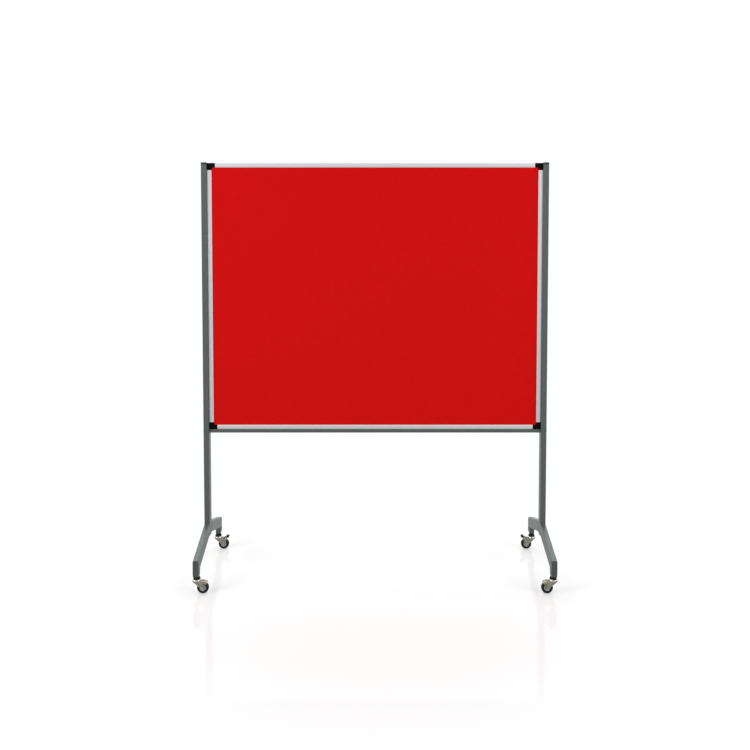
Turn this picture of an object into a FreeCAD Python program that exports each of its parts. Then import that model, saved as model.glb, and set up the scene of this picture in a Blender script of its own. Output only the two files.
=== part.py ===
import FreeCAD, Part
import math
import os
from FreeCAD import Vector

# Mobile felt board: a felt-faced panel in an aluminium frame, carried between two steel
# uprights on splayed legs with four swivel casters, of which the rear two have brakes.
# Millimetres. +X is the viewer's right, the front faces -Y and +Z is up. The origin is on
# the floor, midway between the uprights and midway between the front and rear legs.

# Board panel
board_width = 1500.0
board_height = 1200.0
board_base = 650.0  # floor to the frame's lower edge
core_thickness = 12.0
felt_thickness = 2.0  # where the rails pinch it
felt_rise = 0.6  # how much further the felt stands out in the opening
felt_edge_gap = 0.4  # between that raised field and the frame's inner edge
panel_edge_gap = 0.6  # between the panel's edge and the groove's floor

# Frame rails
rail_face = 20.0  # width of a rail seen from the front
rail_wall = 1.4
rail_chamber = 9.4  # outer edge to the groove's floor
rail_shoulder = 1.9  # lip thickness before the bevel
rail_lip_edge = 0.9  # lip thickness at its inner edge
rail_flat = 13.0  # outer edge to the start of the bevel
rail_edge_radius = 1.5
groove_clearance = 0.1

# Corner pieces
corner_run = 36.0  # along the top and bottom rails
corner_drop = 32.0  # along the side rails
corner_proud = 0.5
corner_outer_radius = 4.0
corner_inner_radius = 7.0
corner_end_radius = 1.0
corner_edge_round = 0.8
tongue_length = 30.0
tongue_clearance = 0.2

# Steel tube of the uprights and legs
tube_width = 25.0
tube_depth = 50.0
tube_wall = 1.5
tube_corner = 4.0
plug_clearance = 0.2

# Uprights
post_rise = 2.0  # top of the cap above the board
post_cap_head = 10.0
post_cap_round = 2.0
post_cap_spigot = 25.0
post_plug_head = 3.0
post_plug_spigot = 15.0

# Legs
foot_length = 600.0  # over the end caps, front to back
leg_top = 218.0  # top of a leg where it meets the upright
leg_end_top = 147.0  # top of a leg at its outer end
leg_cap_plate = 3.0
leg_cap_spigot = 11.0

# Cross tube under the board
crossbar_height = 15.0
crossbar_depth = 30.0
crossbar_wall = 1.5
crossbar_corner = 2.5
block_length = 28.0  # threaded block in each end
bolt_spacing = 14.0  # between the two bolts of an end

# Bolts and screws
bolt_diameter = 6.0
bolt_reach = 20.0  # into the threaded block
bolt_head_diameter = 11.0
bolt_head_height = 3.3
bolt_socket = 4.0  # hexagon across flats
screw_diameter = 4.8
screw_reach = 6.5  # past the frame's outer face
screw_head_diameter = 9.5
screw_head_height = 2.8
screw_socket = 3.0
screw_margin = 150.0  # from the frame's top and bottom to the first screw
screws_per_side = 3
socket_share = 0.6  # part of a head's height that its hexagon takes
thread_clearance = 0.05
hole_clearance = 0.2

# Caster sockets and the necks that hold them under the legs
stem_inset = 27.0  # foot's end to the stem's axis
neck_lift = 14.0  # socket's foot to the neck
socket_diameter = 24.0
socket_flange_diameter = 30.0
socket_flange = 4.0
socket_side_clearance = 1.0
socket_spigot = 28.0  # above the leg's underside
neck_wall = 1.5
neck_corner = 4.0
bore_end_room = 1.5

# Casters
wheel_diameter = 50.0
tyre_width = 18.0
tyre_shoulder = 4.5
hub_diameter = 27.0
hub_rim_width = 16.5
hub_rim_wall = 3.0
hub_web = 8.0
hub_boss_diameter = 13.0
hub_width = 21.6
hub_side_clearance = 0.2
fit_clearance = 0.05
run_clearance = 0.1
trail = 26.0  # stem's axis to the axle
wheel_room = 3.3  # tyre to the crown
fork_plate = 2.0
fork_bend = 4.0
fork_boss_radius = 7.0
fork_back = 13.0
fork_front = 20.0
hood_sweep = 42.0  # degrees that an unbraked fork reaches over the tyre, past the axle
hood_skirt = 12.0  # how far the hood's sides come down over the tyre
crown_diameter = 38.0
ball_diameter = 4.4
ball_count = 12
ball_pitch_diameter = 26.0
race_wall = 1.6
race_round = 3.0
race_lift = 0.6  # skirt's edge above the crown
collar_diameter = 17.0
collar_thickness = 2.5
kingpin_diameter = 9.0
kingpin_head_diameter = 15.0
kingpin_head = 2.2
stem_diameter = 11.0
stem_length = 32.0
stem_chamfer = 1.5
axle_diameter = 6.0
axle_flats = 10.0
axle_head = 4.0
axle_nut = 5.0
axle_tip = 1.5

# Brakes
brake_reach = 11.0  # axle to the pivot, measured level
brake_rise = 6.0  # tyre tread to the pivot
brake_pin_diameter = 4.0
brake_pin_head_diameter = 7.5
brake_pin_head = 1.6
brake_ear_radius = 5.5
brake_knee_radius = 4.0
brake_barrel_radius = 4.0
brake_lever_width = 16.0
brake_cam_radius = 5.5  # pivot to the centre of the cam's nose
brake_cam_nose = 1.5
brake_stop_gap = 0.3  # nose to tyre, fully down
brake_travel = 16.0  # degrees
brake_arm_angle = 38.0  # degrees above level
brake_arm_length = 15.0
brake_arm_thickness = 2.5
pedal_start = 6.0  # pivot to the pad
pedal_length = 11.0
pedal_width = 18.0
pedal_thickness = 11.0
pedal_round = 3.0
pedal_fit = 0.05

# Heights and depths that follow from the sizes above
board_top = board_base + board_height
half_board = board_width / 2
half_core = core_thickness / 2
half_groove = half_core + felt_thickness + groove_clearance
half_rail = half_groove + rail_shoulder
panel_inset = rail_chamber + panel_edge_gap
post_x = half_board + tube_width / 2
foot_end = foot_length / 2
leg_start = tube_depth / 2
leg_fall = (leg_top - leg_end_top) / (foot_end - leg_start)
leg_vertical = tube_depth * math.hypot(1.0, leg_fall)
post_bottom = leg_top - leg_vertical
post_top = board_top + post_rise - post_cap_head
stem_y = foot_end - stem_inset
underside_at_stem = post_bottom - leg_fall * (stem_y - leg_start)
wheel_radius = wheel_diameter / 2
axle_z = wheel_radius
crown_under = wheel_diameter + wheel_room
crown_top = crown_under + fork_plate
race_under = crown_top + ball_diameter + 2 * run_clearance
race_top = race_under + race_wall
socket_base = race_top + collar_thickness
neck_base = socket_base + neck_lift
half_fork_gap = hub_width / 2 + hub_side_clearance
half_fork = half_fork_gap + fork_plate
pivot_x = trail + brake_reach
pivot_z = axle_z + math.sqrt((wheel_radius + brake_rise) ** 2 - brake_reach**2)

sides = {"left": -1, "right": 1}
ends = {"front": -1, "rear": 1}


def in_xy(a, b):
    return Vector(a, b, 0)


def in_xz(a, b):
    return Vector(a, 0, b)


def in_yz(a, b):
    return Vector(0, a, b)


def rounded_face(corners, place):
    """A face bounded by straight runs through (a, b, radius) corners, each rounded by its radius."""
    stops = []
    for i, (a, b, radius) in enumerate(corners):
        here = place(a, b)
        before = place(*corners[i - 1][:2])
        after = place(*corners[(i + 1) % len(corners)][:2])
        if radius <= 0:
            stops.append((here, None, here))
            continue
        to_before = (before - here).normalize()
        to_after = (after - here).normalize()
        half_angle = to_before.getAngle(to_after) / 2
        reach = radius / math.tan(half_angle)
        inward = (to_before + to_after).normalize()
        middle = here + inward * (radius / math.sin(half_angle) - radius)
        stops.append((here + to_before * reach, middle, here + to_after * reach))
    edges = []
    for i, (start, middle, end) in enumerate(stops):
        last = stops[i - 1][2]
        if (start - last).Length > 1e-6:
            edges.append(Part.LineSegment(last, start).toShape())
        if middle is not None:
            edges.append(Part.Arc(start, middle, end).toShape())
    return Part.Face(Part.Wire(edges))


def rectangle(width, height, radius, place, centre=(0.0, 0.0)):
    """A rounded rectangle about a centre."""
    ca, cb = centre
    signs = ((-1, -1), (1, -1), (1, 1), (-1, 1))
    return rounded_face([(ca + sa * width / 2, cb + sb * height / 2, radius) for sa, sb in signs], place)


def belt_face(discs, place):
    """The outline of a belt drawn tight around (a, b, radius) discs, listed counter-clockwise."""
    normals = []
    for i, (a, b, radius) in enumerate(discs):
        next_a, next_b, next_radius = discs[(i + 1) % len(discs)]
        run = math.hypot(next_a - a, next_b - b)
        along = ((next_a - a) / run, (next_b - b) / run)
        lean = (radius - next_radius) / run
        out = math.sqrt(1 - lean**2)
        normals.append((lean * along[0] + out * along[1], lean * along[1] - out * along[0]))
    edges = []
    for i, (a, b, radius) in enumerate(discs):
        first = math.atan2(normals[i - 1][1], normals[i - 1][0])
        last = math.atan2(normals[i][1], normals[i][0])
        sweep = (last - first) % (2 * math.pi)
        turn = [first, first + sweep / 2, first + sweep]
        edges.append(Part.Arc(*(place(a + radius * math.cos(t), b + radius * math.sin(t)) for t in turn)).toShape())
        next_a, next_b, next_radius = discs[(i + 1) % len(discs)]
        leave = place(a + radius * normals[i][0], b + radius * normals[i][1])
        meet = place(next_a + next_radius * normals[i][0], next_b + next_radius * normals[i][1])
        edges.append(Part.LineSegment(leave, meet).toShape())
    return Part.Face(Part.Wire(edges))


def moved(shape, x, y, z):
    return shape.translated(Vector(x, y, z))


def turned(shape, axis, degrees):
    return shape.rotated(Vector(0, 0, 0), axis, degrees)


def spun(corners, place, axis):
    """A solid of revolution of a rounded profile whose first number is the radius."""
    return rounded_face(corners, place).revolve(Vector(0, 0, 0), axis, 360)


def cylinder_x(diameter, start, length, y=0.0, z=0.0):
    return Part.makeCylinder(diameter / 2, length, Vector(start, y, z), Vector(1, 0, 0))


def cylinder_y(diameter, start, length, x=0.0, z=0.0):
    return Part.makeCylinder(diameter / 2, length, Vector(x, start, z), Vector(0, 1, 0))


def hexagon_prism(across_flats, start, length, place, direction):
    """A hexagonal bar along a direction, drawn in the plane that place gives and starting at start."""
    radius = across_flats / math.sqrt(3)
    turns = [math.radians(60 * i) for i in range(6)]
    outline = rounded_face([(radius * math.cos(t), radius * math.sin(t), 0) for t in turns], place)
    return outline.translated(direction * start).extrude(direction * length)


def socket_head_bolt(diameter, length, head_diameter, head_height, across_flats):
    """A domed bolt along -X with the underside of its head at the origin and a hexagon socket."""
    profile = [
        (0, -length, 0),
        (diameter / 2, -length, 0),
        (diameter / 2, 0, 0),
        (head_diameter / 2, 0, 0),
        (head_diameter / 2, head_height, head_height * socket_share),
        (0, head_height, 0),
    ]
    solid = spun(profile, lambda radius, along: Vector(along, radius, 0), Vector(1, 0, 0))
    depth = head_height * socket_share
    return solid.cut(hexagon_prism(across_flats, head_height - depth, depth, in_yz, Vector(1, 0, 0)))


# Where the bolts and screws pass through each upright
bolt_places = [(s * bolt_spacing / 2, board_base - crossbar_height / 2) for s in (-1, 1)]
screw_span = board_height - 2 * screw_margin
screw_heights = [board_base + screw_margin + screw_span * i / (screws_per_side - 1) for i in range(screws_per_side)]


def post():
    """A left or right upright about its own axis, bored for the bolts and screws."""
    outer = rectangle(tube_width, tube_depth, tube_corner, in_xy)
    inner = rectangle(tube_width - 2 * tube_wall, tube_depth - 2 * tube_wall, tube_corner - tube_wall, in_xy)
    height = Vector(0, 0, post_top - post_bottom)
    tube = moved(outer.extrude(height).cut(inner.extrude(height)), 0, 0, post_bottom)
    holes = [cylinder_x(bolt_diameter + 2 * hole_clearance, -tube_width, 2 * tube_width, y, z) for y, z in bolt_places]
    for z in screw_heights:
        holes.append(cylinder_x(screw_diameter + 2 * hole_clearance, -tube_width, 2 * tube_width, 0, z))
    return tube.cut(holes)


def tube_spigot(depth):
    """A plug that slides into the upright's tube, standing on z = 0."""
    inset = 2 * (tube_wall + plug_clearance)
    section = rectangle(tube_width - inset, tube_depth - inset, tube_corner - tube_wall, in_xy)
    return section.extrude(Vector(0, 0, depth))


def post_cap():
    """The moulded cap on top of an upright."""
    head = rectangle(tube_width, tube_depth, tube_corner, in_xy).extrude(Vector(0, 0, post_cap_head))
    rim = [e for e in head.Edges if e.BoundBox.ZMin > post_cap_head - 1e-3]
    head = head.makeFillet(post_cap_round, rim)
    return moved(head.fuse(moved(tube_spigot(post_cap_spigot), 0, 0, -post_cap_spigot)), 0, 0, post_top)


def post_plug():
    """The plug in the bottom of an upright."""
    head = rectangle(tube_width, tube_depth, tube_corner, in_xy).extrude(Vector(0, 0, -post_plug_head))
    return moved(head.fuse(tube_spigot(post_plug_spigot)), 0, 0, post_bottom)


def leg_section(inset, radius):
    """The leg's cross-section on a vertical plane at the upright's rear face, inset from its outside."""
    height = leg_vertical - 2 * inset * math.hypot(1.0, leg_fall)
    centre = (0.0, leg_top - leg_vertical / 2)
    return moved(rectangle(tube_width - 2 * inset, height, radius, in_xz, centre), 0, leg_start, 0)


def along_leg(section, start, end):
    """A section carried down the leg's slope between two distances from the middle of the foot."""
    shifted = moved(section, 0, start - leg_start, -leg_fall * (start - leg_start))
    return shifted.extrude(Vector(0, end - start, -leg_fall * (end - start)))


def leg():
    """A rear leg about the upright's axis, bored underneath for the caster socket."""
    tube_end = foot_end - leg_cap_plate
    outer = along_leg(leg_section(0, tube_corner), leg_start, tube_end)
    inner = along_leg(leg_section(tube_wall, tube_corner - tube_wall), leg_start, tube_end)
    spigot_hole = Part.makeCylinder(
        socket_spigot_diameter() / 2 + hole_clearance,
        leg_vertical,
        Vector(0, stem_y, underside_at_stem - leg_vertical / 2),
    )
    return outer.cut(inner).cut(spigot_hole)


def leg_cap():
    """The moulded cap that closes a leg's outer end and the end of the neck under it."""
    tube_end = foot_end - leg_cap_plate
    fall = leg_fall * leg_cap_plate
    top = leg_end_top + fall
    base = neck_base + fall
    plate = rectangle(tube_width, top - base, tube_corner, in_xz, (0.0, (top + base) / 2))
    plate = moved(plate, 0, tube_end, 0).extrude(Vector(0, leg_cap_plate, -fall))
    inset = tube_wall + plug_clearance
    spigot = along_leg(leg_section(inset, tube_corner - tube_wall), tube_end - leg_cap_spigot, tube_end)
    return plate.fuse(spigot)


def socket_spigot_diameter():
    return tube_width - 2 * tube_wall - 2 * socket_side_clearance


def neck_outline(inset):
    """The neck's plan, square against the end cap and rounded behind the socket."""
    side = socket_diameter / 2 - inset
    back = stem_y - socket_diameter / 2 + inset
    front = foot_end - leg_cap_plate - inset
    radius = neck_corner - inset
    return rounded_face([(-side, back, radius), (side, back, radius), (side, front, 0), (-side, front, 0)], in_xy)


def caster_neck():
    """The steel neck welded under a leg's end, raked to its slope, with a floor that the socket goes through."""
    height = underside_at_stem - neck_base + socket_diameter
    outer = neck_outline(0).extrude(Vector(0, 0, height))
    room = moved(neck_outline(neck_wall).extrude(Vector(0, 0, height)), 0, 0, neck_wall)
    above = along_leg(leg_section(-tube_width, 0), leg_start, foot_end + tube_depth)
    lift = tube_width * math.hypot(1.0, leg_fall)
    bore = Part.makeCylinder(socket_spigot_diameter() / 2 + hole_clearance, height, Vector(0, stem_y, 0))
    return moved(outer.cut([room, bore]), 0, 0, neck_base).cut(moved(above, 0, 0, lift))


def caster_socket():
    """A nylon socket with the stem's bore: a flanged barrel, and a spigot up the neck into the leg."""
    foot = Vector(0, stem_y, socket_base)
    flange = Part.makeCylinder(socket_flange_diameter / 2, socket_flange, foot)
    barrel = Part.makeCylinder(socket_diameter / 2, neck_lift, foot)
    spigot_top = underside_at_stem + socket_spigot
    spigot = Part.makeCylinder(socket_spigot_diameter() / 2, spigot_top - socket_base, foot)
    bore = Part.makeCylinder(stem_diameter / 2 + fit_clearance, stem_length + bore_end_room, foot)
    return flange.fuse([barrel, spigot]).removeSplitter().cut(bore)


def crossbar():
    """The cross tube between the uprights, right under the board."""
    outer = rectangle(crossbar_depth, crossbar_height, crossbar_corner, in_yz)
    inner = rectangle(
        crossbar_depth - 2 * crossbar_wall,
        crossbar_height - 2 * crossbar_wall,
        crossbar_corner - crossbar_wall,
        in_yz,
    )
    run = Vector(board_width, 0, 0)
    tube = outer.extrude(run).cut(inner.extrude(run))
    return moved(tube, -half_board, 0, board_base - crossbar_height / 2)


def crossbar_block():
    """The threaded block in the right end of the cross tube."""
    inset = 2 * (crossbar_wall + plug_clearance)
    section = rectangle(crossbar_depth - inset, crossbar_height - inset, crossbar_corner - crossbar_wall, in_yz)
    block = moved(section.extrude(Vector(-block_length, 0, 0)), half_board, 0, board_base - crossbar_height / 2)
    thread = bolt_diameter + 2 * thread_clearance
    return block.cut([cylinder_x(thread, half_board - block_length, block_length, y, z) for y, z in bolt_places])


def crossbar_bolts():
    """The bolts through the right upright into the cross tube's block."""
    bolt = socket_head_bolt(
        bolt_diameter, tube_width + bolt_reach, bolt_head_diameter, bolt_head_height, bolt_socket
    )
    return [moved(bolt, half_board + tube_width, y, z) for y, z in bolt_places]


def board_screws():
    """The screws through the right upright into the frame's side rail."""
    screw = socket_head_bolt(
        screw_diameter, tube_width + screw_reach, screw_head_diameter, screw_head_height, screw_socket
    )
    return [moved(screw, half_board + tube_width, 0, z) for z in screw_heights]


def rail(length):
    """A rail along X with its outer edge on z = 0 and its groove facing up."""
    edge = half_groove + rail_lip_edge
    half_profile = [
        (half_rail, 0, rail_edge_radius),
        (half_rail, rail_flat, 0),
        (edge, rail_face, rail_lip_edge / 3),
        (half_groove, rail_face, rail_lip_edge / 3),
        (half_groove, rail_chamber, 0),
    ]
    mirrored = [(-y, z, radius) for y, z, radius in reversed(half_profile)]
    outer = rounded_face(half_profile + mirrored, in_yz)
    hollow = rectangle(
        2 * (half_rail - rail_wall),
        rail_chamber - 2 * rail_wall,
        rail_lip_edge / 3,
        in_yz,
        (0.0, rail_chamber / 2),
    )
    run = Vector(length, 0, 0)
    return moved(outer.extrude(run).cut(hollow.extrude(run)), -length / 2, 0, 0)


def level_rail():
    return rail(board_width - 2 * corner_run)


def side_rail():
    """The right side rail in place, with pilot holes for the screws."""
    upright = turned(rail(board_height - 2 * corner_drop), Vector(0, 1, 0), -90)
    upright = moved(upright, half_board, 0, board_base + board_height / 2)
    pilot = screw_diameter + 2 * thread_clearance
    return upright.cut([cylinder_x(pilot, half_board - 2 * rail_wall, 3 * rail_wall, 0, z) for z in screw_heights])


def corner():
    """The lower left corner piece with its outer corner on the origin and its tongues in the rails."""
    outline = [
        (0, 0, corner_outer_radius),
        (corner_run, 0, corner_end_radius),
        (corner_run, rail_face, corner_end_radius),
        (rail_face, rail_face, corner_inner_radius),
        (rail_face, corner_drop, corner_end_radius),
        (0, corner_drop, corner_end_radius),
    ]
    half = half_rail + corner_proud
    block = moved(rounded_face(outline, in_xz).extrude(Vector(0, 2 * half, 0)), 0, -half, 0)
    rims = [e for e in block.Edges if min(abs(e.BoundBox.YMax + half), abs(e.BoundBox.YMin - half)) < 1e-3]
    block = block.makeFillet(corner_edge_round, rims)
    pocket = Part.makeBox(
        corner_run, 2 * half_groove, corner_drop, Vector(rail_chamber, -half_groove, rail_chamber)
    )
    tongue_half = half_rail - rail_wall - tongue_clearance
    tongue_wide = rail_chamber - 2 * rail_wall - 2 * tongue_clearance
    tongue_edge = rail_wall + tongue_clearance
    root = corner_end_radius + corner_edge_round
    level = Part.makeBox(
        tongue_length + root, 2 * tongue_half, tongue_wide, Vector(corner_run - root, -tongue_half, tongue_edge)
    )
    upright = Part.makeBox(
        tongue_wide, 2 * tongue_half, tongue_length + root, Vector(tongue_edge, -tongue_half, corner_drop - root)
    )
    return block.cut(pocket).fuse([level, upright]).removeSplitter()


def core():
    """The soft fibre panel that the felt is bonded to."""
    return Part.makeBox(
        board_width - 2 * panel_inset,
        core_thickness,
        board_height - 2 * panel_inset,
        Vector(panel_inset - half_board, -half_core, board_base + panel_inset),
    )


def felt():
    """The rear felt facing, pinched under the rails and standing fuller in the opening."""
    sheet = Part.makeBox(
        board_width - 2 * panel_inset,
        felt_thickness,
        board_height - 2 * panel_inset,
        Vector(panel_inset - half_board, half_core, board_base + panel_inset),
    )
    margin = 2 * (rail_face + felt_edge_gap)
    field = rectangle(
        board_width - margin,
        board_height - margin,
        corner_inner_radius - felt_edge_gap,
        in_xz,
        (0.0, board_base + board_height / 2),
    )
    field = moved(field.extrude(Vector(0, felt_rise, 0)), 0, half_core + felt_thickness, 0)
    return sheet.fuse(field).removeSplitter()


def stem():
    """A caster's stem, collar and kingpin about the swivel axis."""
    kingpin_end = crown_under - run_clearance - kingpin_head
    profile = [
        (0, kingpin_end, 0),
        (kingpin_head_diameter / 2, kingpin_end, kingpin_head / 2),
        (kingpin_head_diameter / 2, kingpin_end + kingpin_head, 0),
        (kingpin_diameter / 2, kingpin_end + kingpin_head, 0),
        (kingpin_diameter / 2, race_top, 0),
        (collar_diameter / 2, race_top, 0),
        (collar_diameter / 2, socket_base, 0),
        (stem_diameter / 2, socket_base, 0),
        (stem_diameter / 2, socket_base + stem_length - stem_chamfer, 0),
        (stem_diameter / 2 - stem_chamfer, socket_base + stem_length, 0),
        (0, socket_base + stem_length, 0),
    ]
    return spun(profile, in_xz, Vector(0, 0, 1))


def race():
    """The pressed upper race, a shallow cup over the balls."""
    outer = crown_diameter / 2
    inner = outer - race_wall
    hole = kingpin_diameter / 2 + fit_clearance
    foot = crown_top + race_lift
    profile = [
        (hole, race_under, 0),
        (inner, race_under, race_round - race_wall),
        (inner, foot, 0),
        (outer, foot, 0),
        (outer, race_top, race_round),
        (hole, race_top, 0),
    ]
    return spun(profile, in_xz, Vector(0, 0, 1))


def balls():
    """The ring of swivel balls between the crown and the race."""
    ball = Part.makeSphere(ball_diameter / 2, Vector(ball_pitch_diameter / 2, 0, (crown_top + race_under) / 2))
    return [turned(ball, Vector(0, 0, 1), 360 * i / ball_count) for i in range(ball_count)]


def fork_channel(drop):
    """The fork's bent section: a top plate and two side plates that come down to a height."""
    return rounded_face(
        [
            (-half_fork, drop, 0),
            (-half_fork, crown_top, fork_bend),
            (half_fork, crown_top, fork_bend),
            (half_fork, drop, 0),
            (half_fork_gap, drop, 0),
            (half_fork_gap, crown_under, fork_bend - fork_plate),
            (-half_fork_gap, crown_under, fork_bend - fork_plate),
            (-half_fork_gap, drop, 0),
        ],
        in_yz,
    )


def fork(braked):
    """A pressed fork: a crown over two side plates, with ears for the brake's pin or a hood over the tyre."""
    reach = trail + wheel_diameter
    channel_end = reach if braked else trail
    channel = fork_channel(axle_z - 2 * fork_boss_radius).extrude(Vector(reach + channel_end, 0, 0))
    boss = (trail, axle_z, fork_boss_radius)
    front = fork_front if braked else trail
    side = belt_face([(-fork_back, crown_top, fork_bend), boss, (front, crown_top, fork_bend)], in_xz)
    side = moved(side.extrude(Vector(0, 4 * half_fork, 0)), 0, -2 * half_fork, 0)
    body = moved(channel, -reach, 0, 0).common(side)
    pieces = [Part.makeCylinder(crown_diameter / 2, fork_plate, Vector(0, 0, crown_under))]
    holes = [
        Part.makeCylinder(kingpin_diameter / 2 + run_clearance, crown_top, Vector(0, 0, axle_z)),
        cylinder_y(axle_diameter + 2 * run_clearance, -2 * half_fork, 4 * half_fork, trail, axle_z),
    ]
    if braked:
        knee = (fork_front + fork_bend + brake_knee_radius, crown_under - brake_knee_radius, brake_knee_radius)
        ear = belt_face([boss, (pivot_x, pivot_z, brake_ear_radius), knee], in_xz)
        holes.append(cylinder_y(brake_pin_diameter + 2 * fit_clearance, -2 * half_fork, 4 * half_fork, pivot_x, pivot_z))
    else:
        ear = belt_face([boss, (trail, crown_top - 2 * fork_bend, fork_plate)], in_xz)
        hood = moved(fork_channel(crown_top - hood_skirt), trail, 0, 0)
        pieces.append(hood.revolve(Vector(trail, 0, axle_z), Vector(0, 1, 0), hood_sweep))
    for offset in (half_fork_gap, -half_fork):
        pieces.append(moved(ear.extrude(Vector(0, fork_plate, 0)), 0, offset, 0))
    return body.fuse(pieces).removeSplitter().cut(holes)


def axle():
    """The axle bolt and its nut, outside the fork's plates."""
    tip = half_fork + axle_nut + axle_tip
    along_y = Vector(0, 1, 0)
    head = hexagon_prism(axle_flats, -half_fork - axle_head, axle_head, in_xz, along_y)
    bolt = head.fuse(cylinder_y(axle_diameter, -half_fork, half_fork + tip)).removeSplitter()
    nut = hexagon_prism(axle_flats, half_fork, axle_nut, in_xz, along_y)
    nut = nut.cut(cylinder_y(axle_diameter + 2 * fit_clearance, half_fork, axle_nut))
    return Part.makeCompound([moved(bolt, trail, 0, axle_z), moved(nut, trail, 0, axle_z)])


def hub():
    """The wheel's moulded centre: a rim, a thinner web and a long boss on the axle."""
    half_profile = [
        (axle_diameter / 2 + run_clearance, hub_width / 2, 0),
        (hub_boss_diameter / 2, hub_width / 2, 0.5),
        (hub_boss_diameter / 2, hub_web / 2, 1.0),
        (hub_diameter / 2 - hub_rim_wall, hub_web / 2, 1.0),
        (hub_diameter / 2 - hub_rim_wall, hub_rim_width / 2, 0.5),
        (hub_diameter / 2, hub_rim_width / 2, 0),
    ]
    mirrored = [(radius, -y, round_off) for radius, y, round_off in reversed(half_profile)]
    return moved(spun(half_profile + mirrored, in_xy, Vector(0, 1, 0)), trail, 0, axle_z)


def tyre():
    """The rubber tyre around the hub, with rounded shoulders."""
    bore = hub_diameter / 2 + fit_clearance
    half = tyre_width / 2
    profile = [
        (bore, -half, 0.5),
        (wheel_radius, -half, tyre_shoulder),
        (wheel_radius, half, tyre_shoulder),
        (bore, half, 0.5),
    ]
    return moved(spun(profile, in_xy, Vector(0, 1, 0)), trail, 0, axle_z)


def brake_arm_bar(start, end, thickness, width, radius):
    """A bar on the brake arm's line, between two distances from the pivot."""
    face = rectangle(end - start, thickness, radius, in_xz, ((start + end) / 2, 0.0))
    bar = moved(face.extrude(Vector(0, width, 0)), 0, -width / 2, 0)
    return moved(turned(bar, Vector(0, 1, 0), -brake_arm_angle), pivot_x, 0, pivot_z)


def brake_lever():
    """The lever: a barrel on the pin, a cam over the tyre and an arm out to the foot pad."""
    pivot_run = wheel_radius + brake_rise
    stop_run = wheel_radius + brake_stop_gap + brake_cam_nose
    cosine = (pivot_run**2 + brake_cam_radius**2 - stop_run**2) / (2 * pivot_run * brake_cam_radius)
    to_axle = math.atan2(axle_z - pivot_z, trail - pivot_x)
    cam_angle = to_axle + math.acos(cosine) + math.radians(brake_travel)
    nose_x = pivot_x + brake_cam_radius * math.cos(cam_angle)
    nose_z = pivot_z + brake_cam_radius * math.sin(cam_angle)
    cam = belt_face([(pivot_x, pivot_z, brake_barrel_radius), (nose_x, nose_z, brake_cam_nose)], in_xz)
    width = brake_lever_width
    cam = moved(cam.extrude(Vector(0, width, 0)), 0, -width / 2, 0)
    arm = brake_arm_bar(0, brake_arm_length, brake_arm_thickness, width, brake_arm_thickness / 3)
    pin_hole = cylinder_y(brake_pin_diameter + 2 * run_clearance, -width, 2 * width, pivot_x, pivot_z)
    return cam.fuse(arm).removeSplitter().cut(pin_hole)


def brake_pedal():
    """The moulded foot pad, slotted to slide onto the lever's arm."""
    pad = brake_arm_bar(pedal_start, pedal_start + pedal_length, pedal_thickness, pedal_width, pedal_round)
    slot = brake_arm_bar(
        0,
        brake_arm_length + pedal_fit,
        brake_arm_thickness + 2 * pedal_fit,
        brake_lever_width + 2 * pedal_fit,
        brake_arm_thickness / 3,
    )
    return pad.cut(slot)


def brake_pin():
    """The rivet that the lever turns on, headed outside both ears."""
    head = cylinder_y(brake_pin_head_diameter, -half_fork - brake_pin_head, brake_pin_head, pivot_x, pivot_z)
    other = cylinder_y(brake_pin_head_diameter, half_fork, brake_pin_head, pivot_x, pivot_z)
    shank = cylinder_y(brake_pin_diameter, -half_fork, 2 * half_fork, pivot_x, pivot_z)
    return shank.fuse([head, other]).removeSplitter()


def on_side(shape, side):
    """A piece made for the right side, turned round for the left one."""
    return shape if sides[side] > 0 else turned(shape, Vector(0, 0, 1), 180)


def on_leg(shape, end, side):
    """A piece made for a rear leg about the upright's axis, put on one of the four legs."""
    placed = shape if ends[end] > 0 else turned(shape, Vector(0, 0, 1), 180)
    return moved(placed, sides[side] * post_x, 0, 0)


def on_stem(shape, end, side):
    """A caster piece made about the swivel axis and trailing to +X, put in place trailing inwards."""
    placed = turned(shape, Vector(0, 0, 1), 180) if sides[side] > 0 else shape
    return moved(placed, sides[side] * post_x, ends[end] * stem_y, 0)


places = [(end, side) for end in ends for side in sides]
nodes = {
    "board_core": core(),
    "felt_rear": felt(),
    "felt_front": turned(felt(), Vector(0, 0, 1), 180),
    "rail_bottom": moved(level_rail(), 0, 0, board_base),
    "rail_top": moved(turned(level_rail(), Vector(0, 1, 0), 180), 0, 0, board_top),
    "crossbar": crossbar(),
    "crossbar_blocks": Part.makeCompound([on_side(crossbar_block(), side) for side in sides]),
    "crossbar_bolts": Part.makeCompound([on_side(bolt, side) for side in sides for bolt in crossbar_bolts()]),
    "board_screws": Part.makeCompound([on_side(screw, side) for side in sides for screw in board_screws()]),
    "post_caps": Part.makeCompound([moved(post_cap(), sides[side] * post_x, 0, 0) for side in sides]),
    "post_plugs": Part.makeCompound([moved(post_plug(), sides[side] * post_x, 0, 0) for side in sides]),
    "caster_sleeves": Part.makeCompound([on_leg(caster_neck(), *place) for place in places]),
    "swivel_races": Part.makeCompound([on_stem(race(), *place) for place in places]),
    "swivel_balls": Part.makeCompound([on_stem(ball, *place) for place in places for ball in balls()]),
}

for side, sign in sides.items():
    nodes[f"post_{side}"] = moved(post(), sign * post_x, 0, 0)
    nodes[f"rail_{side}"] = on_side(side_rail(), side)
    low = corner() if sign < 0 else corner().mirror(Vector(0, 0, 0), Vector(1, 0, 0))
    high = low.mirror(Vector(0, 0, 0), Vector(0, 0, 1))
    nodes[f"corner_bottom_{side}"] = moved(low, sign * half_board, 0, board_base)
    nodes[f"corner_top_{side}"] = moved(high, sign * half_board, 0, board_top)

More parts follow.
